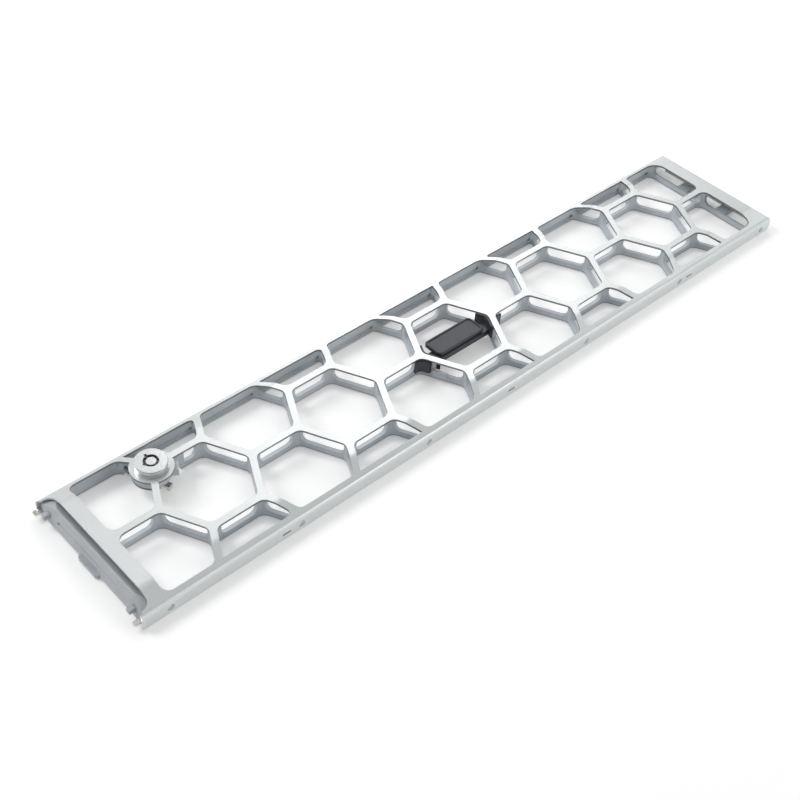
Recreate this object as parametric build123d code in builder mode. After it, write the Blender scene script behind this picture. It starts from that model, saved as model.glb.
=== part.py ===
from build123d import *
import math
import os

os.makedirs("parts", exist_ok=True)

# Server front bezel, lying on its back. X runs along its length, Y points to the edge that is
# at the top in use, Z points out of its front. The origin is under the middle of its box, on
# the plane of its back edges. All sizes are millimetres.

# Cell pattern of the front: flat-topped hexagons in interlocking columns
cell_pitch = 82.5  # between the middles of neighbouring cells of the middle row
web_run = 29.0  # length of a web that runs along X
web_width = 3.6
half_cell_rise = 15.65  # how far the cut cells of the long edges reach past the rows
cell_corner_r = 4.6
tip_corner_r = 2.2  # in the narrow corners of the half cells
end_reach_left = 10.45  # how far the last cells run past their middle line
end_reach_right = 9.65

# Pressed front cover
cover_height = 86.1
cover_depth = 12.5
sheet = 1.2
rim_width = 3.6  # from the cells to the outer face of the flange
slope_width = 11.85  # width of the band that leans back along each long edge
slope_drop = 4.2
crease_r = 9.0
edge_r = 2.6
left_bar_width = 7.8
right_bar_width = 9.5
end_slant_run = 6.6  # the right end slants outward below the bar
end_slant_drop = 4.6
notch_depth = 6.8  # recess in the left end that the release latch fills
notch_corner_r = 4.4
notch_lip = 2.75  # strip of cover left beside the notch
lip_tip_width = 1.5
lip_tip_length = 1.6
lip_corner_r = 0.6
dimple_first = 60.0
dimple_left_inset = 14.8  # from the left end to its last dimple
dimple_right_inset = 9.0
dimple_height = 3.5
dimple_r = 2.7
dimple_wall = 0.9
slot_shift = 9.0  # from a dimple to the slot beside it
slot_length = 5.0
slot_width = 1.3

# Moulded inner frame
fit_gap = 0.15  # between pieces that sit in one another
frame_inset = 0.3  # openings of the frame are this much wider than those of the cover
rib = 2.2
frame_lift = 0.3  # back edge of the frame above the back edge of the cover
end_wall = 1.8
window_floor = 3.8  # the windows are open from here up to the cover
window_corner_r = 3.4
run_margin = 4.2  # from a corner of a cell to the window of a web along X
slant_margin = 2.0
rail_inset = 30.0  # from the left end of the frame to the rails along its rims
rail_groove = 0.5
rail_low = 2.4
rail_high = 4.4
rail_step = 0.8
rail_step_height = 1.2
end_window_margin = 2.4  # from a corner of an end cell to the long window of the end wall
fixing_boss = 1.5  # raised pad on the web beside the badge
fixing_boss_length = 8.0
fixing_boss_height = 4.4
fixing_boss_along = 12.5
fixing_boss_level = 2.3

# Release latch at the left end
latch_travel = 3.0
latch_gap = 0.4
ridge_back = 3.0  # from the bar of the cover to the ridge
ridge_drop = 1.8
ridge_width = 0.9
latch_waist = 1.7  # outer face measured in from the end of the cover, at the groove
latch_waist_level = 6.0
latch_lip_level = 1.3
latch_lip = 0.85
latch_slope = 32.0  # degrees that the inner face falls towards the recess
latch_edge_chamfer = 0.6
groove_r = 1.1
groove_inset = 17.05  # from the long edges to the ends of the groove
groove_shift = 1.0
finger_pad_width = 15.5
finger_pad_reach = 1.45  # past the lip
finger_pad_height = 2.3
finger_pad_chamfer = 1.0
plate = 1.2  # thickness of the steel plates
hook_plate_level = 3.0
hook_plate_width = 4.2
hook_plate_in = 2.0  # its outer edge, measured in from the end of the cover
hook_reach = 3.1
hook_width = 2.6
hook_corner_r = 0.9
peg_shank = 1.8
peg_head = 2.6
peg_level = 5.6
peg_seat = 1.9  # shoulder of a peg, measured in from the end of the cover
peg_reach = 1.7
peg_inset = 8.85  # from the long edges of the cover
peg_clearance = 0.06
peg_play = 0.1  # between the latch and the shoulder of a peg
spring_y = 16.0
spring_r = 1.4
spring_wire = 0.45
spring_turns = 5
spring_level = 2.6
spring_bore = 2.4
spring_stem_r = 0.7
spring_stem_length = 1.8

# Small screws
screw_r = 1.1
screw_head_r = 2.1
screw_head_height = 1.2
screw_grip = 3.0
thread_gap = 0.03
latch_screw_inset = 18.05  # from the long edges of the cover
drive_r = 0.9
drive_depth = 0.6

# Key lock
pad_r = 10.85
lock_head_r = 8.2
lock_head_height = 3.8
lock_step_r = 8.7
lock_step_height = 1.6
lock_chamfer = 0.4
barrel_r = 7.4
barrel_end = 4.0  # above the back edge of the cover
key_ring_r = 3.9
key_post_r = 2.6
key_post_drop = 0.2
key_ring_depth = 4.8
key_lip = 2.0
key_notch_width = 1.4
key_notch_reach = 5.1
side_notch_reach = 4.5
small_notch_reach = 3.9
plug_r = 4.4
running_gap = 0.05
shank = 4.6
pin_count = 7
pin_r = 0.4
pin_circle_r = 3.25
pin_drop = 2.8
pin_socket = 1.6
plug_pin_r = 0.6
plug_pin_level = 8.5
plug_pin_angle = 45.0
plug_groove = 0.7
boss_r = 9.8
boss_height = 4.0
lug_reach = 12.6  # block on the boss beside the right web of the lock
lug_width = 6.0
lug_angle = -32.0
clip_r = 9.9
clip_groove = 0.8
clip_arm_length = 14.0
clip_arm_width = 3.6
clip_arm_angle = 120.0
clip_side_gap = 0.3
cam = 1.5
cam_gap = 0.5
cam_width = 5.5
cam_hub_r = 5.2
cam_reach = 14.6
cam_tail = 9.9
cam_tail_width = 3.2
cam_angle = 114.0
cam_tab = 1.6
cam_tab_height = 1.2
cam_room = 0.8
washer_r = 3.5
washer = 0.4

# Badge
badge_length = 34.0
badge_height = 12.6
badge_corner_r = 2.4
badge_thickness = 2.3
badge_shift = 0.9
badge_rim = 1.2
badge_recess = 0.5
bridge_width = 7.0
bridge_shift = -2.5
bridge_level = 5.0
bridge_height = 3.5
ear_wall = 1.2
ear_gap = 0.15
ear_front = 0.3  # below the front face
ear_back = 4.3
ear_inner = 19.6  # where the ears begin, from the middle of the badge cell
ear_upper = 5.5
ear_lower = 9.0
saddle_level = 8.2
saddle_width = 4.4
saddle_along = 5.0  # from the corner of the cell, along the web
outer_ear_reach = 5.5
outer_ear_drop = 7.5
badge_screw_x = 11.0

# Right end
right_hook_reach = 4.5
right_hook_width = 8.0
right_hook_inset = 16.05  # from the long edges of the cover to the middle of a hook
right_hook_corner_r = 1.2
right_plate_level = 3.0
right_plate_width = 5.6
right_plate_inset = 9.05
right_screw_inset = 28.05
right_bracket_width = 7.0
right_wall_gap = 0.8  # between the steel plate and the end wall of the cover above it

# Places that follow from the sizes above
half_height = cover_height / 2
row_rise = half_height - rim_width - half_cell_rise
half_run = web_run / 2
half_cell = (cell_pitch - web_run) / 2
last_column = 2.5 * cell_pitch
left_bar_inner = last_column + end_reach_left
left_bar_outer = left_bar_inner + left_bar_width
left_end = left_bar_outer + notch_depth
right_bar_inner = last_column + end_reach_right
right_bar_outer = right_bar_inner + right_bar_width
right_end = right_bar_outer + end_slant_run
cell_limit = half_height - rim_width
crease_y = half_height - slope_width
slope_angle = math.degrees(math.atan2(slope_drop, slope_width))
end_angle = math.degrees(math.atan2(end_slant_drop, end_slant_run))
web_lean = math.degrees(math.atan2(row_rise, half_cell - half_run))
badge_x = (left_end + hook_reach - right_end - right_hook_reach) / 2
under_sheet = cover_depth - sheet
frame_left = left_bar_inner + frame_inset + end_wall
frame_right = right_bar_inner + frame_inset + end_wall
lock_x = -(2 * cell_pitch + half_run)
lock_y = row_rise
boss_back = under_sheet - boss_height
clip_level = boss_back - plate
cam_level = barrel_end - cam_gap - cam
head_top = cover_depth + lock_head_height
peg_y = half_height - peg_inset
latch_screw_y = half_height - latch_screw_inset
groove_length = cover_height - 2 * groove_inset
right_hook_y = half_height - right_hook_inset
right_plate_half = half_height - right_plate_inset
right_screw_y = half_height - right_screw_inset
right_plate_x = right_end - sheet - fit_gap - right_plate_width / 2


def level(z):
    """Plane parallel to the front, with its origin behind the middle of the badge cell."""
    return Plane(origin=(badge_x, 0, z))


def across(x):
    """Plane square to the length: its x is Y and its y is Z."""
    return Plane(origin=(badge_x + x, 0, 0), x_dir=(0, 1, 0), z_dir=(1, 0, 0))


def along(y):
    """Plane square to Y, facing the lower edge: its x is X and its y is Z."""
    return Plane(origin=(badge_x, y, 0), x_dir=(1, 0, 0), z_dir=(0, -1, 0))


def lock_level(z):
    """Plane parallel to the front, with its origin on the axis of the lock."""
    return Plane(origin=(badge_x + lock_x, lock_y, z))


def hood(inset, x):
    """Section of the cover moved in by an inset, on a plane across the length."""
    top = cover_depth - inset
    crease = crease_y - inset * math.tan(math.radians(slope_angle / 2))
    side = half_height - inset
    shoulder = cover_depth - slope_drop - inset * math.tan(math.radians((90 - slope_angle) / 2))
    edge = max(edge_r - inset, edge_r / 4)
    bend = crease_r - inset
    corners = [(-side, 0), (-side, shoulder), (-crease, top), (crease, top), (side, shoulder), (side, 0)]
    with BuildSketch(across(x)) as section:
        with BuildLine():
            bent = FilletPolyline(*corners, radius=[edge, bend, bend, edge])
            Line(bent @ 1, bent @ 0)
        make_face()
    return section.sketch


def end_profile(inset, left):
    """Cover seen from its long edge, moved in by an inset, with its slanting right end."""
    top = cover_depth - inset
    crest = right_bar_outer - inset * math.tan(math.radians(end_angle / 2))
    shoulder = cover_depth - end_slant_drop - inset * math.tan(math.radians((90 - end_angle) / 2))
    side = right_end - inset
    bend = max(edge_r - inset, edge_r / 4)
    with BuildSketch(along(half_height)) as profile:
        with BuildLine():
            bent = FilletPolyline((-left, top), (crest, top), (side, shoulder), (side, 0), radius=bend)
            Polyline(bent @ 1, (-left, 0), bent @ 0)
        make_face()
    return profile.sketch


cell_points = [
    (half_cell, 0),
    (half_run, row_rise),
    (-half_run, row_rise),
    (-half_cell, 0),
    (-half_run, -row_rise),
    (half_run, -row_rise),
]
column_places = [(n * cell_pitch, 0) for n in range(-2, 3)]
offset_places = [
    ((n + 0.5) * cell_pitch, side * row_rise) for n in range(-3, 3) for side in (-1, 1)
]
half_places = [(n * cell_pitch, side * 2 * row_rise) for n in range(-2, 3) for side in (-1, 1)]


def one_cell(web, corner_r=0.0):
    """Hexagon of one cell with half a web taken off each side."""
    with BuildSketch() as cell:
        Polygon(*cell_points, align=None)
        offset(amount=-web / 2, kind=Kind.INTERSECTION)
        if corner_r > 0:
            fillet(cell.vertices(), radius=corner_r)
    return cell.sketch


def cells(web, extra):
    """All openings of the pattern, with webs of one width between them."""
    cell = one_cell(web)
    width = left_bar_inner + right_bar_inner + 2 * extra
    middle = (right_bar_inner - left_bar_inner) / 2
    with BuildSketch() as full:
        with Locations(*column_places, *offset_places):
            add(cell)
        with Locations((middle, 0)):
            Rectangle(width, 2 * (cell_limit + extra), mode=Mode.INTERSECT)
        fillet(full.vertices(), radius=cell_corner_r + extra)
    with BuildSketch() as halves:
        with Locations(*half_places):
            add(cell)
        with Locations((middle, 0)):
            Rectangle(width, 2 * (cell_limit + extra), mode=Mode.INTERSECT)
        tips = halves.vertices().filter_by(lambda v: abs(v.Y) > cell_limit)
        fillet(tips, radius=tip_corner_r)
        inner = halves.vertices().filter_by(lambda v: abs(v.Y) < row_rise + web)
        fillet(inner, radius=cell_corner_r + extra)
    return full.sketch + halves.sketch


def saddle_place(side):
    """Where the bracket of the badge crosses a web, turned so that its x runs along the web."""
    lean = math.radians(web_lean)
    x = side * (half_cell - saddle_along * math.cos(lean))
    return Location((x, -saddle_along * math.sin(lean)), side * web_lean)


def screw(grip):
    """Pan-head screw along Z: its head stands below the origin, its shank above it."""
    with BuildPart() as fastener:
        with BuildSketch():
            Circle(screw_r)
        extrude(amount=grip)
        with BuildSketch(Plane.XY.offset(-screw_head_height)):
            Circle(screw_head_r)
        head = extrude(amount=screw_head_height)
        fillet(head.edges().sort_by(Axis.Z)[0], radius=screw_head_height / 3)
        with BuildSketch(Plane.XY.offset(-screw_head_height)):
            RegularPolygon(drive_r, 6)
        extrude(amount=drive_depth, mode=Mode.SUBTRACT)
    return fastener.part


cover_cells = cells(web_width, 0)
frame_cells = cells(rib, frame_inset)
dimple_x = [
    dimple_left_inset - left_end,
    -dimple_first - cell_pitch,
    -dimple_first,
    dimple_first,
    dimple_first + cell_pitch,
    right_end - dimple_right_inset,
]
dimple_places = [(x, edge) for x in dimple_x for edge in (-1, 1)]
slot_x = dimple_first + cell_pitch + slot_shift


# Front cover: one pressed sheet with folded long edges and a folded right end
with BuildPart() as cover_space:
    extrude(hood(sheet, -left_end - 1), amount=left_end + right_end)
    extrude(end_profile(sheet, left_end + 1), amount=cover_height, mode=Mode.INTERSECT)

with BuildPart() as front_cover:
    extrude(hood(0, -left_end), amount=left_end + right_end)
    extrude(end_profile(0, left_end), amount=cover_height, mode=Mode.INTERSECT)
    add(cover_space.part, mode=Mode.SUBTRACT)
    with BuildSketch(level(under_sheet - slope_drop - sheet)):
        add(cover_cells)
        with Locations((lock_x, lock_y)):
            Circle(pad_r, mode=Mode.SUBTRACT)
            Circle(barrel_r + fit_gap)
    extrude(amount=cover_depth, mode=Mode.SUBTRACT)
    notch_half = half_height - notch_lip
    tip_half = half_height - lip_tip_width
    tip_start = left_end - lip_tip_length
    with BuildSketch(level(under_sheet - slope_drop - 2 * sheet)):
        with BuildLine():
            FilletPolyline(
                (-left_end - 1, tip_half),
                (-tip_start, tip_half),
                (-tip_start, notch_half),
                (-left_bar_outer, notch_half),
                (-left_bar_outer, -notch_half),
                (-tip_start, -notch_half),
                (-tip_start, -tip_half),
                (-left_end - 1, -tip_half),
                radius=[lip_corner_r] * 2 + [notch_corner_r] * 2 + [lip_corner_r] * 2,
            )
            Line((-left_end - 1, -tip_half), (-left_end - 1, tip_half))
        make_face()
    extrude(amount=cover_depth, mode=Mode.SUBTRACT)
    for x, edge in dimple_places:
        with Locations(Location((badge_x + x, edge * half_height, dimple_height), (0, 0, 90 + edge * 90))):
            Sphere(dimple_r, arc_size3=180, align=None)
            Sphere(dimple_r - dimple_wall, mode=Mode.SUBTRACT)
    for x in (-slot_x, 0, slot_x):
        with BuildSketch(along(0)):
            with Locations((x, dimple_height)):
                SlotOverall(slot_length, slot_width)
        extrude(amount=half_height + 1, both=True, mode=Mode.SUBTRACT)
    with BuildSketch(level(0)):
        with Locations((right_end, 0)):
            Rectangle(4 * sheet, 2 * (half_height - sheet))
    extrude(amount=right_plate_level + plate + right_wall_gap, mode=Mode.SUBTRACT)
front_cover.part.label = "front_cover"
export_step(front_cover.part, "parts/front_cover.step")


def windows():
    """Middle, length and direction of each window under a web."""
    slant = math.hypot(half_cell - half_run, row_rise)
    rim_slant = slant * (cell_limit + frame_inset - row_rise) / row_rise
    for column in range(-2, 3):
        x = column * cell_pitch
        for side in (-1, 1):
            yield (x, side * row_rise), web_run - 2 * run_margin, 0.0
            for hand in (-1, 1):
                middle = (x + hand * (half_run + half_cell) / 2, side * row_rise / 2)
                yield middle, slant - 2 * slant_margin, -side * hand * web_lean
                along_web = (rim_slant + slant_margin) / 2
                outer = (
                    x + hand * (half_run + along_web * math.cos(math.radians(web_lean))),
                    side * (row_rise + along_web * math.sin(math.radians(web_lean))),
                )
                yield outer, rim_slant - slant_margin, side * hand * web_lean
    for column in range(-2, 2):
        yield ((column + 0.5) * cell_pitch, 0), web_run - 2 * run_margin, 0.0
    for side, end in ((-1, left_bar_inner), (1, right_bar_inner)):
        start = last_column - half_run + run_margin
        yield (side * (start + end) / 2, 0), end - start, 0.0


def window_outline(length):
    """Window seen square to its web: open at the top, round in the lower corners."""
    with BuildSketch() as outline:
        with Locations((0, (window_floor + cover_depth) / 2)):
            Rectangle(length, cover_depth - window_floor)
        fillet(outline.vertices().group_by(Axis.Y)[0], radius=window_corner_r)
    return outline.sketch


def clip_outline(gap):
    """Retaining plate of the lock, seen from the front, grown by a gap."""
    with BuildSketch() as outline:
        Circle(clip_r)
        turn = math.radians(clip_arm_angle)
        middle = (math.cos(turn) * clip_arm_length / 2, math.sin(turn) * clip_arm_length / 2)
        with Locations(Location(middle, clip_arm_angle)):
            Rectangle(clip_arm_length, clip_arm_width)
        if gap > 0:
            offset(amount=gap)
    return outline.sketch


# Inner frame: one moulding with a wall under every web, a rim and two brackets at the right end
with BuildPart() as frame_walls:
    extrude(hood(sheet + fit_gap, -frame_left), amount=frame_left + frame_right)
    with BuildSketch(level(frame_lift)):
        with Locations(((frame_right - frame_left) / 2, 0)):
            Rectangle(frame_left + frame_right, cover_height)
    extrude(amount=cover_depth, mode=Mode.INTERSECT)
    with BuildSketch(level(0)):
        add(frame_cells)
    extrude(amount=cover_depth, mode=Mode.SUBTRACT)

# Stretches of wall that keep their full height: round the lock and under the bracket of the badge
with BuildPart() as full_walls:
    add(frame_walls.part)
    with BuildSketch(level(0)):
        with Locations((lock_x, lock_y)):
            Circle(cam_reach + cam_room + rib)
        with Locations(saddle_place(-1), saddle_place(1)):
            Rectangle(saddle_width + 2 * rib, 2 * rib)
    extrude(amount=cover_depth, mode=Mode.INTERSECT)

with BuildPart() as inner_frame:
    add(frame_walls.part)
    for (x, y), length, lean in windows():
        turn = math.radians(lean)
        web = Plane(
            origin=(badge_x + x, y, 0),
            x_dir=(math.cos(turn), math.sin(turn), 0),
            z_dir=(math.sin(turn), -math.cos(turn), 0),
        )
        with BuildSketch(web):
            add(window_outline(length))
        extrude(amount=rib, both=True, mode=Mode.SUBTRACT)
    end_window = cell_limit - web_width / 2 - 2 * end_window_margin
    with BuildSketch(across(right_bar_inner)):
        with Locations(*[(side * (cell_limit + web_width / 2) / 2, 0) for side in (-1, 1)]):
            add(window_outline(end_window))
    extrude(amount=2 * end_wall, mode=Mode.SUBTRACT)
    add(full_walls.part)
    rim_inner = cell_limit + frame_inset
    rail_start = frame_left - rail_inset
    rail_length = rail_start + frame_right - end_wall
    for side in (-1, 1):
        with BuildSketch(across(-rail_start)):
            with Locations((side * rim_inner, (rail_low + rail_high) / 2)):
                Rectangle(2 * rail_groove, rail_high - rail_low)
        extrude(amount=rail_length, mode=Mode.SUBTRACT)
    for side in (-1, 1):
        with BuildSketch(across(-rail_start)):
            with Locations((side * rim_inner, frame_lift + rail_step_height / 2)):
                Rectangle(2 * rail_step, rail_step_height)
        extrude(amount=rail_length)
    with BuildSketch(lock_level(boss_back)):
        Circle(boss_r)
        turn = math.radians(lug_angle)
        middle = (math.cos(turn) * lug_reach / 2, math.sin(turn) * lug_reach / 2)
        with Locations(Location(middle, lug_angle)):
            Rectangle(lug_reach, lug_width)
    extrude(amount=boss_height)
    extrude(hood(sheet + fit_gap, -frame_left), amount=frame_left + frame_right, mode=Mode.INTERSECT)
    bracket_length = right_end - sheet - fit_gap - frame_right
    with BuildSketch(level(frame_lift)):
        with Locations(*[
            (frame_right + bracket_length / 2, side * right_screw_y) for side in (-1, 1)
        ]):
            Rectangle(bracket_length, right_bracket_width)
    extrude(amount=right_plate_level - frame_lift)
    with Locations(*[
        (badge_x - frame_left, side * spring_y, spring_level) for side in (-1, 1)
    ]):
        Cylinder(spring_stem_r, 2 * spring_stem_length, rotation=(0, 90, 0))
    with BuildSketch(lock_level(0)):
        Circle(cam_reach + cam_room)
    extrude(amount=barrel_end, mode=Mode.SUBTRACT)
    slant = math.hypot(half_cell - half_run, row_rise)
    with BuildSketch(lock_level(0)):
        toward = math.radians(180 + web_lean)
        reach = (boss_r + slant - slant_margin) / 2
        with Locations(Location((reach * math.cos(toward), reach * math.sin(toward)), web_lean)):
            Rectangle(slant - slant_margin - boss_r, 2 * rib)
    extrude(amount=cover_depth, mode=Mode.SUBTRACT)
    with BuildSketch(level(fixing_boss_level)):
        lean = math.radians(web_lean)
        middle = (
            fixing_boss_along * math.cos(lean) - half_cell - (rib + fixing_boss) / 2 * math.sin(lean),
            -fixing_boss_along * math.sin(lean) - (rib + fixing_boss) / 2 * math.cos(lean),
        )
        with Locations(Location(middle, -web_lean)):
            Rectangle(fixing_boss_length, fixing_boss)
    extrude(amount=fixing_boss_height)
    with BuildSketch(lock_level(0)):
        add(clip_outline(clip_side_gap))
    extrude(amount=boss_back, mode=Mode.SUBTRACT)
    with BuildSketch(lock_level(0)):
        Circle(barrel_r + running_gap)
    extrude(amount=cover_depth, mode=Mode.SUBTRACT)
    for x, edge in dimple_places:
        with Locations((badge_x + x, edge * half_height, dimple_height)):
            Sphere(dimple_r + fit_gap, mode=Mode.SUBTRACT)
    for side in (-1, 1):
        with BuildSketch(across(-frame_left)):
            with Locations((side * peg_y, peg_level)):
                Rectangle(peg_shank + 2 * peg_clearance, peg_shank + 2 * peg_clearance)
        extrude(amount=end_wall, mode=Mode.SUBTRACT)
        with Locations((badge_x + right_plate_x, side * right_screw_y, 0)):
            Cylinder(screw_r + thread_gap, 2 * right_plate_level, mode=Mode.SUBTRACT)
    with BuildSketch(level(saddle_level)):
        with Locations(saddle_place(-1), saddle_place(1)):
            Rectangle(saddle_width + 2 * fit_gap, 2 * rib)
    extrude(amount=cover_depth, mode=Mode.SUBTRACT)
inner_frame.part.label = "inner_frame"
export_step(inner_frame.part, "parts/inner_frame.step")


# Key lock: turned housing that passes through the cover and the boss of the frame
with BuildPart() as lock_cylinder:
    with BuildSketch(lock_level(cover_depth)):
        Circle(lock_step_r)
    step = extrude(amount=lock_step_height)
    with BuildSketch(lock_level(cover_depth + lock_step_height)):
        Circle(lock_head_r)
    extrude(amount=lock_head_height - lock_step_height)
    rims = lock_cylinder.edges().filter_by(GeomType.CIRCLE).group_by(Axis.Z)
    chamfer(rims[-1], length=lock_chamfer)
    with BuildSketch(lock_level(barrel_end)):
        Circle(barrel_r)
    extrude(amount=cover_depth - barrel_end)
    with BuildSketch(lock_level(barrel_end)):
        Circle(plug_r + running_gap)
    extrude(amount=head_top - key_lip - barrel_end, mode=Mode.SUBTRACT)
    notches = [(90, key_notch_reach), (135, small_notch_reach), (180, side_notch_reach)]
    with BuildSketch(lock_level(head_top - key_lip)):
        Circle(key_ring_r)
        for angle, reach in notches:
            turn = math.radians(angle)
            middle = (math.cos(turn) * reach / 2, math.sin(turn) * reach / 2)
            with Locations(Location(middle, angle)):
                Rectangle(reach, key_notch_width)
    extrude(amount=key_lip, mode=Mode.SUBTRACT)
    with BuildSketch(lock_level(clip_level - running_gap)):
        Circle(barrel_r + 1)
        Circle(barrel_r - clip_groove, mode=Mode.SUBTRACT)
    extrude(amount=plate + 2 * running_gap, mode=Mode.SUBTRACT)
    pin_turn = math.radians(plug_pin_angle)
    pin_plane = Plane(
        origin=(badge_x + lock_x, lock_y, plug_pin_level),
        z_dir=(math.cos(pin_turn), math.sin(pin_turn), 0),
    )
    with BuildSketch(pin_plane):
        Circle(plug_pin_r + thread_gap)
    extrude(amount=barrel_r, mode=Mode.SUBTRACT)
lock_cylinder.part.label = "lock_cylinder"
export_step(lock_cylinder.part, "parts/lock_cylinder.step")

# Pin through the wall of the lock that holds the plug by its groove
with BuildPart() as plug_pin:
    with BuildSketch(pin_plane.offset(plug_r + running_gap - plug_groove)):
        Circle(plug_pin_r)
    extrude(amount=barrel_r - plug_r - 2 * running_gap + plug_groove)
plug_pin.part.label = "plug_pin"
export_step(plug_pin.part, "parts/plug_pin.step")

# Steel retaining plate that slides into the groove of the lock, behind the frame
with BuildPart() as lock_clip:
    with BuildSketch(lock_level(clip_level)):
        add(clip_outline(0))
        Circle(barrel_r - clip_groove + running_gap, mode=Mode.SUBTRACT)
        turn = math.radians(clip_arm_angle + 180)
        away = (math.cos(turn) * clip_r, math.sin(turn) * clip_r)
        with Locations(Location(away, clip_arm_angle)):
            Rectangle(2 * clip_r, 2 * (barrel_r - clip_groove + running_gap), mode=Mode.SUBTRACT)
    extrude(amount=plate)
lock_clip.part.label = "lock_clip"
export_step(lock_clip.part, "parts/lock_clip.step")

# Plug that turns in the lock, with the centre post of the key way in front
shoulder = head_top - key_ring_depth
with BuildPart() as lock_plug:
    with BuildSketch(lock_level(barrel_end)):
        Circle(plug_r)
    extrude(amount=shoulder - barrel_end)
    with BuildSketch(lock_level(shoulder)):
        Circle(key_post_r)
    post = extrude(amount=key_ring_depth - key_post_drop)
    chamfer(post.edges().sort_by(Axis.Z)[-1], length=lock_chamfer / 2)
    with BuildSketch(lock_level(cam_level)):
        Rectangle(shank, shank)
    extrude(amount=barrel_end - cam_level)
    with BuildSketch(lock_level(plug_pin_level - plug_pin_r - running_gap)):
        Circle(plug_r + 1)
        Circle(plug_r - plug_groove, mode=Mode.SUBTRACT)
    extrude(amount=2 * (plug_pin_r + running_gap), mode=Mode.SUBTRACT)
    with BuildSketch(lock_level(cam_level)):
        Circle(screw_r + thread_gap)
    extrude(amount=barrel_end - cam_level + screw_grip, mode=Mode.SUBTRACT)
    with BuildSketch(lock_level(shoulder)):
        with PolarLocations(pin_circle_r, pin_count):
            Circle(pin_r + thread_gap)
    extrude(amount=-pin_socket, mode=Mode.SUBTRACT)
lock_plug.part.label = "lock_plug"
export_step(lock_plug.part, "parts/lock_plug.step")

# Ring of key pins standing in the plug
with BuildPart() as key_pins:
    with BuildSketch(lock_level(shoulder - pin_socket)):
        with PolarLocations(pin_circle_r, pin_count):
            Circle(pin_r)
    extrude(amount=pin_socket + key_ring_depth - pin_drop)
key_pins.part.label = "key_pins"
export_step(key_pins.part, "parts/key_pins.step")

# Cam that the plug swings behind the frame, with the bent tab on its tail
cam_plane = Plane(
    origin=(badge_x + lock_x, lock_y, cam_level),
    x_dir=(math.cos(math.radians(cam_angle)), math.sin(math.radians(cam_angle)), 0),
    z_dir=(0, 0, 1),
)
with BuildPart() as lock_cam:
    with BuildSketch(cam_plane) as cam_outline:
        Circle(cam_hub_r)
        with Locations(((cam_reach - cam_width / 2) / 2, 0)):
            Rectangle(cam_reach - cam_width / 2, cam_width)
        with Locations((cam_reach - cam_width / 2, 0)):
            Circle(cam_width / 2)
        with Locations((-cam_tail / 2, 0)):
            Rectangle(cam_tail, cam_tail_width)
    extrude(amount=cam)
    with BuildSketch(cam_plane):
        with Locations((cam_tab / 2 - cam_tail, 0)):
            Rectangle(cam_tab, cam_tail_width)
    extrude(amount=-cam_tab_height)
    with BuildSketch(lock_level(cam_level)):
        Rectangle(shank + 2 * running_gap, shank + 2 * running_gap)
    extrude(amount=cam, mode=Mode.SUBTRACT)
lock_cam.part.label = "lock_cam"
export_step(lock_cam.part, "parts/lock_cam.step")

with BuildPart() as cam_washer:
    with BuildSketch(lock_level(cam_level - washer)):
        Circle(washer_r)
        Circle(screw_r + 2 * running_gap, mode=Mode.SUBTRACT)
    extrude(amount=washer)
cam_washer.part.label = "cam_washer"
export_step(cam_washer.part, "parts/cam_washer.step")

with BuildPart() as cam_screw:
    with Locations((badge_x + lock_x, lock_y, cam_level - washer)):
        add(screw(washer + screw_grip))
cam_screw.part.label = "cam_screw"
export_step(cam_screw.part, "parts/cam_screw.step")


# Badge bracket: a bridge across the middle cell with an ear round the web at each end
with BuildPart() as badge_bracket:
    ear_web = web_width + 2 * ear_gap
    ear_r = cell_corner_r - ear_gap
    ear_outside = one_cell(ear_web, ear_r)
    ear_inside = one_cell(ear_web + 2 * ear_wall, ear_r - ear_wall)
    with BuildSketch(level(bridge_level)):
        add(ear_outside)
        with Locations((0, bridge_shift)):
            Rectangle(2 * half_cell, bridge_width, mode=Mode.INTERSECT)
    extrude(amount=bridge_height)
    with BuildSketch(level(ear_back)):
        add(ear_outside)
        add(ear_inside, mode=Mode.SUBTRACT)
        with Locations((0, (ear_upper - ear_lower) / 2)):
            Rectangle(cell_pitch, ear_upper + ear_lower, mode=Mode.INTERSECT)
        Rectangle(2 * ear_inner, cell_pitch, mode=Mode.SUBTRACT)
    extrude(amount=cover_depth - ear_front - ear_back)
    for side in (-1, 1):
        with BuildSketch(level(ear_back)):
            with Locations((side * cell_pitch / 2, -row_rise)):
                add(ear_outside)
                add(ear_inside, mode=Mode.SUBTRACT)
            with Locations((side * half_cell, 0)):
                Rectangle(2 * outer_ear_reach, 2 * outer_ear_drop, mode=Mode.INTERSECT)
        extrude(amount=under_sheet - fit_gap - ear_back)
    with BuildSketch(level(saddle_level + fit_gap)):
        with Locations(saddle_place(-1), saddle_place(1)):
            Rectangle(saddle_width, ear_web + ear_wall)
    extrude(amount=under_sheet - saddle_level - 2 * fit_gap)
    with BuildSketch(level(bridge_level)):
        with Locations(*[(side * badge_screw_x, bridge_shift) for side in (-1, 1)]):
            Circle(screw_r + 2 * running_gap)
    extrude(amount=bridge_height, mode=Mode.SUBTRACT)
badge_bracket.part.label = "badge_bracket"
export_step(badge_bracket.part, "parts/badge_bracket.step")

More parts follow.
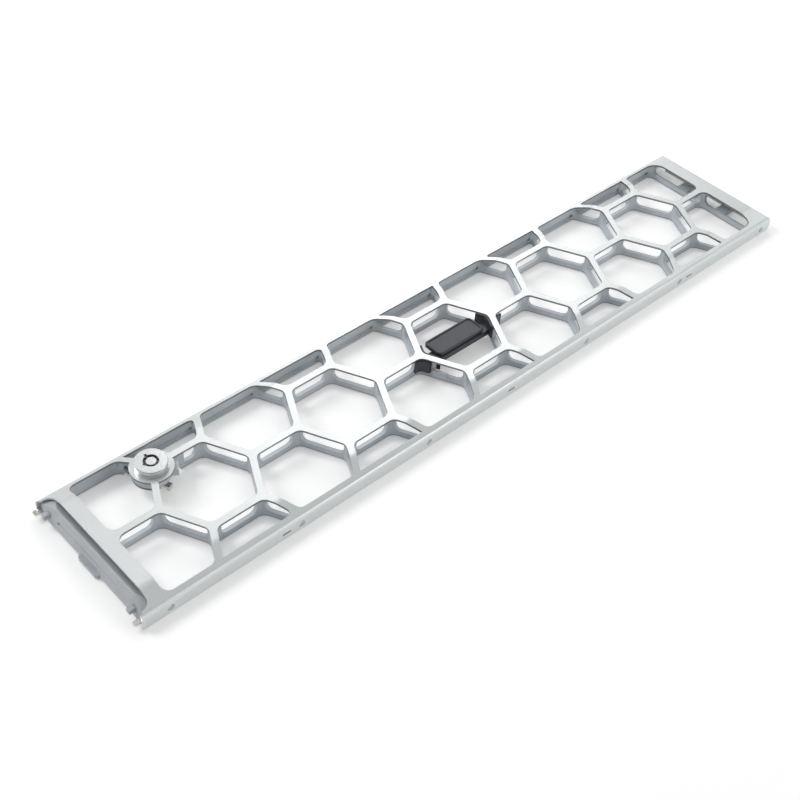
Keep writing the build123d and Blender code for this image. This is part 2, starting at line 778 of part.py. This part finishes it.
# Blank badge plate with a raised rim
with BuildPart() as badge_plate:
    with BuildSketch(level(bridge_level + bridge_height)):
        with Locations((0, badge_shift)):
            RectangleRounded(badge_length, badge_height, badge_corner_r)
    extrude(amount=badge_thickness)
    front = badge_plate.faces().sort_by(Axis.Z)[-1]
    chamfer(front.edges(), length=badge_recess)
    with BuildSketch(level(bridge_level + bridge_height + badge_thickness)):
        with Locations((0, badge_shift)):
            RectangleRounded(
                badge_length - 2 * badge_rim,
                badge_height - 2 * badge_rim,
                badge_corner_r - badge_rim / 2,
            )
    extrude(amount=-badge_recess, mode=Mode.SUBTRACT)
    with BuildSketch(level(bridge_level + bridge_height)):
        with Locations((-badge_screw_x, bridge_shift), (badge_screw_x, bridge_shift)):
            Circle(screw_r + thread_gap)
    extrude(amount=badge_thickness - 2 * badge_recess, mode=Mode.SUBTRACT)
badge_plate.part.label = "badge_plate"
export_step(badge_plate.part, "parts/badge_plate.step")

with BuildPart() as badge_screws:
    with Locations(*[(badge_x + side * badge_screw_x, bridge_shift, bridge_level) for side in (-1, 1)]):
        add(screw(bridge_height + badge_thickness - 2 * badge_recess - thread_gap))
badge_screws.part.label = "badge_screws"
export_step(badge_screws.part, "parts/badge_screws.step")


# Steel plate with the two fixed hooks of the right end, on the brackets of the frame
with BuildPart() as right_hook_plate:
    with BuildSketch(level(right_plate_level)):
        with Locations((right_plate_x, 0)):
            Rectangle(right_plate_width, 2 * right_plate_half)
        with Locations(*[
            ((right_plate_x + right_end + right_hook_reach) / 2, side * right_hook_y) for side in (-1, 1)
        ]):
            Rectangle(right_end + right_hook_reach - right_plate_x, right_hook_width)
    extrude(amount=plate)
    ends = right_hook_plate.edges().filter_by(Axis.Z).group_by(Axis.X)[-1]
    fillet(ends, radius=right_hook_corner_r)
    with BuildSketch(level(right_plate_level)):
        with Locations(*[(right_plate_x, side * right_screw_y) for side in (-1, 1)]):
            Circle(screw_r + 2 * running_gap)
    extrude(amount=plate, mode=Mode.SUBTRACT)
right_hook_plate.part.label = "right_hook_plate"
export_step(right_hook_plate.part, "parts/right_hook_plate.step")

with BuildPart() as right_hook_screws:
    with Locations(*[
        Location((badge_x + right_plate_x, side * right_screw_y, right_plate_level + plate), (180, 0, 0))
        for side in (-1, 1)
    ]):
        add(screw(plate + right_plate_level - frame_lift - thread_gap))
right_hook_screws.part.label = "right_hook_screws"
export_step(right_hook_screws.part, "parts/right_hook_screws.step")


# Release latch: a bar that slides towards the middle of the bezel, with a finger scoop
latch_rear = -(frame_left + latch_gap + latch_travel)
ridge_x = -(left_bar_outer + ridge_back)
ridge_top = cover_depth - ridge_drop
inner_fall = (latch_rear - ridge_x - ridge_width / 2) * math.tan(math.radians(latch_slope))
pocket_middle = -(left_end - hook_plate_in - hook_plate_width / 2)
hook_half = half_height - sheet - latch_gap
with BuildPart() as release_latch:
    with BuildSketch(along(half_height)):
        with BuildLine():
            Polyline(
                (latch_rear, frame_lift),
                (latch_rear, ridge_top - inner_fall),
                (ridge_x + ridge_width / 2, ridge_top),
                (ridge_x - ridge_width / 2, ridge_top),
                (-left_end + latch_waist, latch_waist_level),
                (-left_end + latch_lip, latch_lip_level),
                (-left_end + latch_lip + latch_edge_chamfer, frame_lift),
                close=True,
            )
        make_face()
    extrude(amount=cover_height)
    extrude(hood(ridge_drop, -left_end - 1), amount=left_end, mode=Mode.INTERSECT)
    with BuildSketch(level(frame_lift)):
        with Locations((-left_end - finger_pad_reach / 2 + latch_lip + 1, 0)):
            pad = Rectangle(finger_pad_reach + 2, finger_pad_width)
        chamfer(pad.vertices().group_by(Axis.X)[0], length=finger_pad_chamfer)
    extrude(amount=finger_pad_height)
    with Locations((badge_x - left_end + latch_waist - groove_r / 4, groove_shift, latch_waist_level)):
        groove_run = groove_length - 2 * groove_r
        Cylinder(groove_r, groove_run, rotation=(90, 0, 0), mode=Mode.SUBTRACT)
    for side in (-1, 1):
        with Locations((
            badge_x - left_end + latch_waist - groove_r / 4,
            groove_shift + side * groove_run / 2,
            latch_waist_level,
        )):
            Sphere(groove_r, mode=Mode.SUBTRACT)
    with BuildSketch(level(0)):
        with Locations((pocket_middle, 0)):
            Rectangle(hook_plate_width + 2 * fit_gap, cover_height)
    extrude(amount=hook_plate_level + plate, mode=Mode.SUBTRACT)
    with BuildSketch(level(0)):
        with Locations(*[(pocket_middle, side * latch_screw_y) for side in (-1, 1)]):
            Circle(screw_r + thread_gap)
    extrude(amount=hook_plate_level + plate + screw_grip, mode=Mode.SUBTRACT)
    with BuildSketch(across(latch_rear)):
        with Locations(*[(side * spring_y, spring_level) for side in (-1, 1)]):
            Circle(spring_r + spring_wire / 2 + fit_gap)
    extrude(amount=-spring_bore, mode=Mode.SUBTRACT)
    for side in (-1, 1):
        with BuildSketch(level(0)):
            with Locations((pocket_middle - left_end / 2, side * (hook_half - hook_width / 2))):
                Rectangle(left_end, hook_width + 2 * fit_gap)
        extrude(amount=hook_plate_level + plate, mode=Mode.SUBTRACT)
        with BuildSketch(across(latch_rear)):
            with Locations((side * peg_y, peg_level)):
                Rectangle(peg_shank + 2 * peg_clearance, peg_shank + 2 * peg_clearance)
        extrude(amount=-left_end, mode=Mode.SUBTRACT)
        with BuildSketch(across(-left_end + peg_seat)):
            with Locations((side * peg_y, peg_level)):
                Rectangle(peg_head + 2 * peg_clearance, peg_head + 2 * peg_clearance)
        extrude(amount=-left_end, mode=Mode.SUBTRACT)
release_latch.part.label = "release_latch"
export_step(release_latch.part, "parts/release_latch.step")

# Steel plate in the back of the latch with the two hooks that engage the rack
with BuildPart() as latch_hook_plate:
    with BuildSketch(level(hook_plate_level)):
        with Locations((pocket_middle, 0)):
            Rectangle(hook_plate_width, 2 * hook_half)
        with Locations(*[
            ((pocket_middle - left_end - hook_reach) / 2, side * (hook_half - hook_width / 2))
            for side in (-1, 1)
        ]):
            Rectangle(left_end + hook_reach + pocket_middle, hook_width)
    extrude(amount=plate)
    tips = latch_hook_plate.edges().filter_by(Axis.Z).group_by(Axis.X)[0]
    fillet(tips, radius=hook_corner_r)
    with BuildSketch(level(hook_plate_level)):
        with Locations(*[(pocket_middle, side * latch_screw_y) for side in (-1, 1)]):
            Circle(screw_r + 2 * running_gap)
    extrude(amount=plate, mode=Mode.SUBTRACT)
latch_hook_plate.part.label = "latch_hook_plate"
export_step(latch_hook_plate.part, "parts/latch_hook_plate.step")

with BuildPart() as latch_plate_screws:
    with Locations(*[
        (badge_x + pocket_middle, side * latch_screw_y, hook_plate_level) for side in (-1, 1)
    ]):
        add(screw(plate + screw_grip - thread_gap))
latch_plate_screws.part.label = "latch_plate_screws"
export_step(latch_plate_screws.part, "parts/latch_plate_screws.step")

# Square shoulder pegs that carry the latch and stop it at its outer end
with BuildPart() as guide_pegs:
    for side in (-1, 1):
        with BuildSketch(across(-frame_left + end_wall)):
            with Locations((side * peg_y, peg_level)):
                Rectangle(peg_shank, peg_shank)
        extrude(amount=-(left_end - peg_seat - frame_left + end_wall + peg_play))
        with BuildSketch(across(-left_end + peg_seat - peg_play)):
            with Locations((side * peg_y, peg_level)):
                Rectangle(peg_head, peg_head)
        head = extrude(amount=-(peg_seat + peg_reach - peg_play))
        chamfer(head.faces().sort_by(Axis.X)[0].edges(), length=peg_head / 8)
guide_pegs.part.label = "guide_pegs"
export_step(guide_pegs.part, "parts/guide_pegs.step")

# Springs between the end wall of the frame and the latch
spring_end_gap = 0.05
spring_room = latch_gap + latch_travel + spring_bore - spring_wire - 2 * spring_end_gap
for side, name in ((-1, "latch_spring_lower"), (1, "latch_spring_upper")):
    with BuildPart() as latch_spring:
        start = -(frame_left + spring_end_gap + spring_wire / 2)
        with BuildLine():
            coil = Helix(
                pitch=spring_room / spring_turns,
                height=spring_room,
                radius=spring_r,
                center=(badge_x + start, side * spring_y, spring_level),
                direction=(-1, 0, 0),
            )
        with BuildSketch(Plane(origin=coil @ 0, z_dir=coil % 0)):
            Circle(spring_wire / 2)
        sweep(path=coil, is_frenet=True)
    latch_spring.part.label = name
    export_step(latch_spring.part, f"parts/{name}.step")
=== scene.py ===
import math

import bpy
from mathutils import Euler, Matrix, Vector


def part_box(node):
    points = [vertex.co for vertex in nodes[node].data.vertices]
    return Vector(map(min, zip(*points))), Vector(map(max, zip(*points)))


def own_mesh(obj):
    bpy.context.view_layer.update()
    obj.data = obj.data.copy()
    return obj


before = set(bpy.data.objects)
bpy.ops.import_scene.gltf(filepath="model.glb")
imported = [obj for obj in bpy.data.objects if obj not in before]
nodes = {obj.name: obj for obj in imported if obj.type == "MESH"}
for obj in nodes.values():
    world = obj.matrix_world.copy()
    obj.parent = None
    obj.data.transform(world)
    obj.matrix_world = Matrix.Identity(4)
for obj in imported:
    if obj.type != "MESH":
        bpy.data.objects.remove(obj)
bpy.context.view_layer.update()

MM = 0.001

# Camera, fitted to the cell pattern in the photograph
LENS_MM = 57.02
SENSOR_MM = 36.0
CAMERA_MM = (-389.1, -332.4, 464.5)
CAMERA_TURN_DEG = (45.129, -3.716, -42.735)
CLIP_START = 0.01
CLIP_END = 50.0

# Silver paint of the cover
COVER_METALLIC = 0.5
COVER_ROUGHNESS = 0.37
COVER_HUE = (0.75, 0.78, 0.78)
CUT_EDGE = 0.30  # share of the cover's colour that its cut edges keep inside the cells
CUT_FACING = 0.3  # a face is a cut edge where its normal rises less than this
CELLS_X_MM = (-218.0, 215.1)
CELLS_Y_MM = 39.7
FLAKE_MM = 0.22
PEEL_MM = 0.4  # size of the fine unevenness of the paint
PEEL_RELIEF_MM = 0.008
METAL_EDGE_MM = 0.15

# Moulded and plated pieces
FRAME_HUE = (0.56, 0.60, 0.63)
FRAME_PAINTED_SHADE = 0.55  # share of its colour that the frame keeps in the painted shade along its back edge
# height over which the painted shade along the frame's back edge fades out
FRAME_PAINTED_SHADE_MM = 1.1
LATCH_HUE = (0.47, 0.49, 0.51)
BADGE_HUE = (0.030, 0.034, 0.046)
PLASTIC_EDGE_MM = 0.25
PLASTIC_GRAIN_MM = 0.3
PLASTIC_RELIEF_MM = 0.012
LOCK_HUE = (0.66, 0.67, 0.68)
STEEL_HUE = (0.68, 0.67, 0.64)
DARK_STEEL_HUE = (0.17, 0.18, 0.20)
SPRINGS = ("latch_spring_lower", "latch_spring_upper")
SPRING_HUE = (0.42, 0.43, 0.44)
PIN_HUE = (0.52, 0.50, 0.45)
TURNING_MM = 0.2
TURNING_RELIEF_MM = 0.004
RINGS_PER_METRE = 900.0

# Light and floor; a lamp has a name, a direction, a distance, a size and a power
LAMPS = (
    ("far_softbox", (0.50, 0.50, 0.70), 1.6, (0.8, 0.8), 5.0),
    ("low_softbox", (0.45, -0.80, 0.38), 1.5, (1.0, 0.35), 4.0),
    ("key_softbox", (-0.45, 0.70, 0.75), 1.5, (0.6, 0.6), 9.0),
    ("end_softbox", (0.78, -0.08, 0.62), 1.6, (0.5, 0.5), 1.0),
    ("back_softbox", (0.55, 0.82, 0.22), 1.6, (0.6, 0.3), 2.0),
)
SKY_STRENGTH = 0.50
HAZE_TOP = 0.35
FLOOR_COLOUR = (0.93, 0.93, 0.93, 1.0)
FLOOR_ROUGHNESS = 0.9
FLOOR_SPECULAR = 0.1
FLOOR_SIZE = 8.0
FLOOR_LEVEL = -0.0002
FLOOR_LIFT = 0.23  # glow near the object that only camera, glossy and transmission rays see
FAR_LIFT = 0.90  # the same far from the object, where the lamps hardly reach
FAR_START = 0.45
FAR_END = 1.6


def place_camera():
    camera = bpy.data.cameras.new("camera")
    camera.lens = LENS_MM
    camera.sensor_width = SENSOR_MM
    camera.sensor_fit = "HORIZONTAL"
    camera.clip_start = CLIP_START
    camera.clip_end = CLIP_END
    holder = bpy.data.objects.new("camera", camera)
    holder.location = Vector(CAMERA_MM) * MM
    holder.rotation_euler = Euler([math.radians(turn) for turn in CAMERA_TURN_DEG], "XYZ")
    bpy.context.scene.collection.objects.link(holder)
    bpy.context.scene.camera = holder


def softbox(name, direction, distance, size, power):
    """Rectangular area light that looks at the middle of the object from a direction."""
    lamp = bpy.data.lights.new(name, "AREA")
    lamp.shape = "RECTANGLE"
    lamp.size, lamp.size_y = size
    lamp.energy = power
    holder = bpy.data.objects.new(name, lamp)
    towards = Vector(direction).normalized()
    holder.location = towards * distance
    holder.rotation_euler = towards.to_track_quat("Z", "Y").to_euler()
    bpy.context.scene.collection.objects.link(holder)


def light_world():
    """Grey sky overhead that grows pale towards the horizon, where the floor ends."""
    world = bpy.data.worlds.new("studio")
    bpy.context.scene.world = world
    world.use_nodes = True
    tree = world.node_tree
    tree.nodes.clear()
    where = tree.nodes.new("ShaderNodeTexCoord")
    split = tree.nodes.new("ShaderNodeSeparateXYZ")
    height = tree.nodes.new("ShaderNodeMapRange")
    height.inputs["From Min"].default_value = 0.0
    height.inputs["From Max"].default_value = HAZE_TOP
    height.inputs["To Min"].default_value = 1.0
    height.inputs["To Max"].default_value = SKY_STRENGTH
    sky = tree.nodes.new("ShaderNodeBackground")
    out = tree.nodes.new("ShaderNodeOutputWorld")
    link = tree.links.new
    link(where.outputs["Generated"], split.inputs[0])
    link(split.outputs["Z"], height.inputs["Value"])
    link(height.outputs["Result"], sky.inputs["Strength"])
    link(sky.outputs[0], out.inputs["Surface"])


def lay_floor():
    """Pale floor that keeps the shadows and is white elsewhere, in reflections too."""
    bpy.ops.mesh.primitive_plane_add(size=FLOOR_SIZE, location=(0.0, 0.0, FLOOR_LEVEL))
    floor = bpy.context.object
    floor.name = "floor"
    material = bpy.data.materials.new("floor")
    material.use_nodes = True
    tree = material.node_tree
    shader = tree.nodes["Principled BSDF"]
    shader.inputs["Base Color"].default_value = FLOOR_COLOUR
    shader.inputs["Roughness"].default_value = FLOOR_ROUGHNESS
    shader.inputs["Specular IOR Level"].default_value = FLOOR_SPECULAR
    path = tree.nodes.new("ShaderNodeLightPath")
    seen = path.outputs["Is Camera Ray"]
    for ray in ("Is Glossy Ray", "Is Transmission Ray"):
        either = tree.nodes.new("ShaderNodeMath")
        either.operation = "MAXIMUM"
        tree.links.new(seen, either.inputs[0])
        tree.links.new(path.outputs[ray], either.inputs[1])
        seen = either.outputs[0]
    where = tree.nodes.new("ShaderNodeTexCoord")
    away = tree.nodes.new("ShaderNodeVectorMath")
    away.operation = "LENGTH"
    tree.links.new(where.outputs["Object"], away.inputs[0])
    amount = tree.nodes.new("ShaderNodeMapRange")
    amount.inputs["From Min"].default_value = FAR_START
    amount.inputs["From Max"].default_value = FAR_END
    amount.inputs["To Min"].default_value = FLOOR_LIFT
    amount.inputs["To Max"].default_value = FAR_LIFT
    tree.links.new(away.outputs["Value"], amount.inputs["Value"])
    lift = tree.nodes.new("ShaderNodeMath")
    lift.operation = "MULTIPLY"
    tree.links.new(amount.outputs["Result"], lift.inputs[1])
    tree.links.new(seen, lift.inputs[0])
    shader.inputs["Emission Color"].default_value = (1.0, 1.0, 1.0, 1.0)
    tree.links.new(lift.outputs[0], shader.inputs["Emission Strength"])
    floor.data.materials.append(material)


class Finish:
    """Node material on one Principled shader, with object-space patterns measured in millimetres."""

    def __init__(self, name, metallic=0.0, roughness=0.5, **sockets):
        self.material = bpy.data.materials.new(name)
        self.material.use_nodes = True
        self.tree = self.material.node_tree
        self.shader = self.tree.nodes["Principled BSDF"]
        self.shader.inputs["Metallic"].default_value = metallic
        self.shader.inputs["Roughness"].default_value = roughness
        for socket, value in sockets.items():
            self.shader.inputs[socket.replace("_", " ")].default_value = value
        self.where = self.tree.nodes.new("ShaderNodeTexCoord").outputs["Object"]
        self.normal = None

    def link(self, output, socket):
        self.tree.links.new(output, socket)

    def stretched(self, stretch):
        mapping = self.tree.nodes.new("ShaderNodeMapping")
        mapping.inputs["Scale"].default_value = stretch
        self.link(self.where, mapping.inputs["Vector"])
        return mapping.outputs["Vector"]

    def noise(self, size_mm, detail=3.0, stretch=(1.0, 1.0, 1.0)):
        """Noise whose features are about so many millimetres across."""
        texture = self.tree.nodes.new("ShaderNodeTexNoise")
        texture.inputs["Scale"].default_value = 1.0 / (size_mm * MM)
        texture.inputs["Detail"].default_value = detail
        self.link(self.stretched(stretch), texture.inputs["Vector"])
        return texture.outputs["Fac"]

    def spread(self, value, low, high, start=0.3, end=0.7):
        """Moves the middle of a noise's range to the range from low to high."""
        node = self.tree.nodes.new("ShaderNodeMapRange")
        node.inputs["From Min"].default_value = start
        node.inputs["From Max"].default_value = end
        node.inputs["To Min"].default_value = low
        node.inputs["To Max"].default_value = high
        self.link(value, node.inputs["Value"])
        return node.outputs["Result"]

    def colour(self, value, dark, light, start=0.3, end=0.7):
        """Base colour that goes from dark to light over the middle of a value's range."""
        ramp = self.tree.nodes.new("ShaderNodeValToRGB")
        ramp.color_ramp.elements[0].position = start
        ramp.color_ramp.elements[0].color = (*dark, 1.0)
        ramp.color_ramp.elements[1].position = end
        ramp.color_ramp.elements[1].color = (*light, 1.0)
        self.link(value, ramp.inputs["Fac"])
        paint = ramp.outputs["Color"]
        self.link(paint, self.shader.inputs["Base Color"])
        return paint

    def soft_edges(self, radius_mm):
        """Rounds the look of sharp edges by a small radius."""
        bevel = self.tree.nodes.new("ShaderNodeBevel")
        bevel.samples = 6
        bevel.inputs["Radius"].default_value = radius_mm * MM
        self.normal = bevel.outputs["Normal"]
        self.link(self.normal, self.shader.inputs["Normal"])

    def rough(self, value, low, high):
        """Roughness that goes from low to high over the middle of a value's range."""
        self.link(self.spread(value, low, high), self.shader.inputs["Roughness"])

    def bump(self, value, height_mm):
        node = self.tree.nodes.new("ShaderNodeBump")
        node.inputs["Distance"].default_value = height_mm * MM
        self.link(value, node.inputs["Height"])
        if self.normal is not None:
            self.link(self.normal, node.inputs["Normal"])
        self.normal = node.outputs["Normal"]
        self.link(self.normal, self.shader.inputs["Normal"])

    def operate(self, operation, first, second):
        """Result of a math operation on two values, each a socket or a number."""
        node = self.tree.nodes.new("ShaderNodeMath")
        node.operation = operation
        for socket, value in zip(node.inputs, (first, second)):
            if isinstance(value, float):
                socket.default_value = value
            else:
                self.link(value, socket)
        return node.outputs[0]

    def split(self, vector):
        node = self.tree.nodes.new("ShaderNodeSeparateXYZ")
        self.link(vector, node.inputs[0])
        return node.outputs

    def darken(self, colour, mask, kept):
        """Keeps a share of the colour where the mask is one."""
        node = self.tree.nodes.new("ShaderNodeVectorMath")
        node.operation = "SCALE"
        self.link(colour, node.inputs[0])
        self.link(self.spread(mask, 1.0, kept, start=0.0, end=1.0), node.inputs["Scale"])
        self.link(node.outputs["Vector"], self.shader.inputs["Base Color"])


def shade(hue, amount):
    return tuple(part * amount for part in hue)


def silver_paint():
    """Satin silver finish of the pressed cover, with fine metal flakes."""
    finish = Finish("silver_paint", metallic=COVER_METALLIC, roughness=COVER_ROUGHNESS, IOR=1.5)
    flakes = finish.noise(FLAKE_MM)
    paint = finish.colour(flakes, shade(COVER_HUE, 0.86), shade(COVER_HUE, 1.08))
    x, y = finish.split(finish.where)[:2]
    geometry = finish.tree.nodes.new("ShaderNodeNewGeometry")
    rise = finish.operate("ABSOLUTE", finish.split(geometry.outputs["True Normal"])[2], 0.0)
    cut = finish.operate("LESS_THAN", rise, CUT_FACING)
    for inside in (
        finish.operate("GREATER_THAN", x, CELLS_X_MM[0] * MM),
        finish.operate("LESS_THAN", x, CELLS_X_MM[1] * MM),
        finish.operate("LESS_THAN", finish.operate("ABSOLUTE", y, 0.0), CELLS_Y_MM * MM),
    ):
        cut = finish.operate("MULTIPLY", cut, inside)
    finish.darken(paint, cut, CUT_EDGE)
    finish.rough(finish.noise(38.0, detail=2.0), COVER_ROUGHNESS - 0.04, COVER_ROUGHNESS + 0.05)
    finish.soft_edges(METAL_EDGE_MM)
    finish.bump(finish.noise(PEEL_MM), PEEL_RELIEF_MM)
    return finish.material


def moulded(name, hue, roughness, kept_in_painted_shade=1.0):
    """Moulded plastic with a fine spark-eroded grain; a painted shade can darken its back edge to a
    share of the colour.
    """
    finish = Finish(name, roughness=roughness, IOR=1.46)
    plastic = finish.colour(finish.noise(22.0), shade(hue, 0.90), shade(hue, 1.06))
    # Painted shade: the colour darkens near the back edge, over about the lowest millimetre
    height = finish.split(finish.where)[2]
    painted_shade_top = FRAME_PAINTED_SHADE_MM * MM
    low = finish.spread(height, 1.0, 0.0, start=0.5 * painted_shade_top, end=painted_shade_top)
    finish.darken(plastic, low, kept_in_painted_shade)
    grain = finish.noise(PLASTIC_GRAIN_MM, detail=4.0)
    finish.rough(grain, roughness - 0.06, roughness + 0.08)
    finish.soft_edges(PLASTIC_EDGE_MM)
    finish.bump(grain, PLASTIC_RELIEF_MM)
    return finish.material


def turned(name, hue, roughness, centre=None):
    """Plated metal with fine marks, in rings round an upright axis where a centre is given."""
    finish = Finish(name, metallic=1.0, roughness=roughness)
    if centre is None:
        marks = finish.noise(TURNING_MM, stretch=(0.06, 1.0, 1.0))
    else:
        mapping = finish.tree.nodes.new("ShaderNodeMapping")
        mapping.inputs["Location"].default_value = (-centre[0], -centre[1], 0.0)
        finish.link(finish.where, mapping.inputs["Vector"])
        rings = finish.tree.nodes.new("ShaderNodeTexWave")
        rings.wave_type = "RINGS"
        rings.rings_direction = "Z"
        rings.inputs["Scale"].default_value = RINGS_PER_METRE
        rings.inputs["Distortion"].default_value = 1.5
        rings.inputs["Detail"].default_value = 2.0
        finish.link(mapping.outputs["Vector"], rings.inputs["Vector"])
        marks = rings.outputs["Fac"]
    finish.colour(marks, shade(hue, 0.93), shade(hue, 1.05))
    finish.rough(marks, roughness - 0.05, roughness + 0.07)
    finish.soft_edges(METAL_EDGE_MM)
    finish.bump(marks, TURNING_RELIEF_MM)
    return finish.material


def dress(material, *names):
    """Gives the carried-over nodes their material."""
    for name in names:
        mesh = nodes[name].data
        mesh.materials.clear()
        mesh.materials.append(material)


def dress_nodes():
    lock_low, lock_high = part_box("lock_cylinder")
    axis = ((lock_low[0] + lock_high[0]) / 2, (lock_low[1] + lock_high[1]) / 2)
    dress(silver_paint(), "front_cover")
    # The frame gets a painted shade along its back edge
    dress(moulded("frame_plastic", FRAME_HUE, 0.42, kept_in_painted_shade=FRAME_PAINTED_SHADE), "inner_frame")
    dress(moulded("latch_plastic", LATCH_HUE, 0.40), "release_latch", "guide_pegs")
    dress(moulded("badge_plastic", BADGE_HUE, 0.34), "badge_bracket", "badge_plate")
    dress(turned("lock_nickel", LOCK_HUE, 0.28, axis), "lock_cylinder", "lock_plug")
    dress(
        turned("bright_steel", STEEL_HUE, 0.26), "latch_hook_plate", "right_hook_plate", "lock_cam",
        "cam_washer", "cam_screw", "badge_screws", "right_hook_screws", "latch_plate_screws", "plug_pin",
    )
    dress(turned("dark_steel", DARK_STEEL_HUE, 0.38), "lock_clip")
    dress(turned("spring_wire", SPRING_HUE, 0.3), *SPRINGS)
    dress(turned("pin_metal", PIN_HUE, 0.3), "key_pins")


def squash_springs():
    """Gives each of the two springs a mesh of its own."""
    for name in SPRINGS:
        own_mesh(nodes[name])


bpy.context.scene.view_settings.view_transform = "Standard"
place_camera()
light_world()
for name, direction, distance, size, power in LAMPS:
    softbox(name, direction, distance, size, power)
lay_floor()
dress_nodes()
squash_springs()
